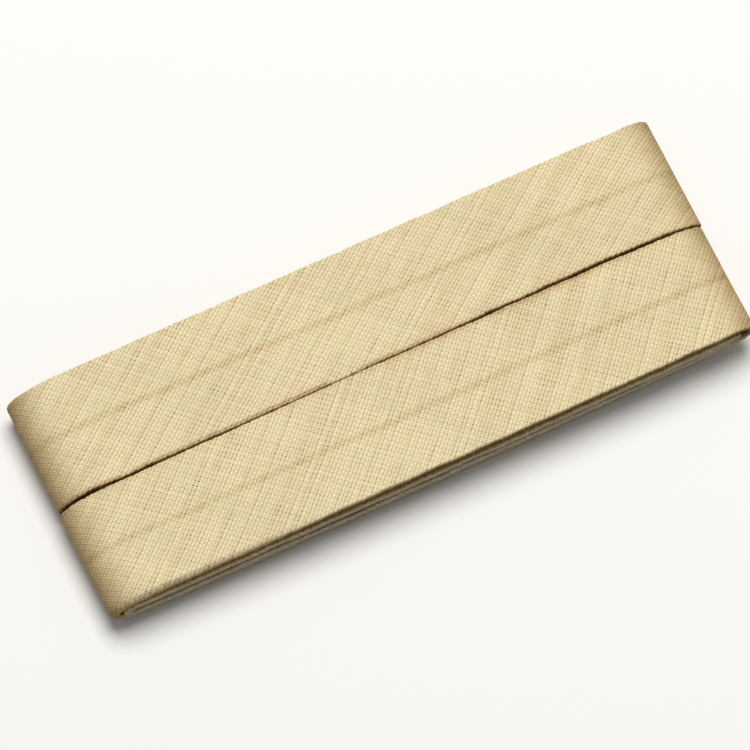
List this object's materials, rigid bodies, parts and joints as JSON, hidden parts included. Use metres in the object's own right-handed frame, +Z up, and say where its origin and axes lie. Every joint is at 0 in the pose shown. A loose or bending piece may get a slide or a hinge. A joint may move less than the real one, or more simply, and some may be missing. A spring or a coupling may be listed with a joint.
{
  "type": "roll of bias binding",
  "caption": "Folded bias-cut cotton tape wound flat into two columns side by side, lying on its underside, for binding a raw cloth edge.",
  "frame": {"origin": "middle of the flat underside, at the centre of the pack's length and width", "axes": "+X along the tape and the slit between the columns, +Y across the columns towards the rear one, +Z up from the underside to the top turn"},
  "size_m": [0.072, 0.0258, 0.0049],
  "materials": {
    "binding_cloth": "matt cream plain-weave cotton"
  },
  "bodies": {
    "root": {"wound_binding": "binding_cloth"}
  },
  "joints": []
}
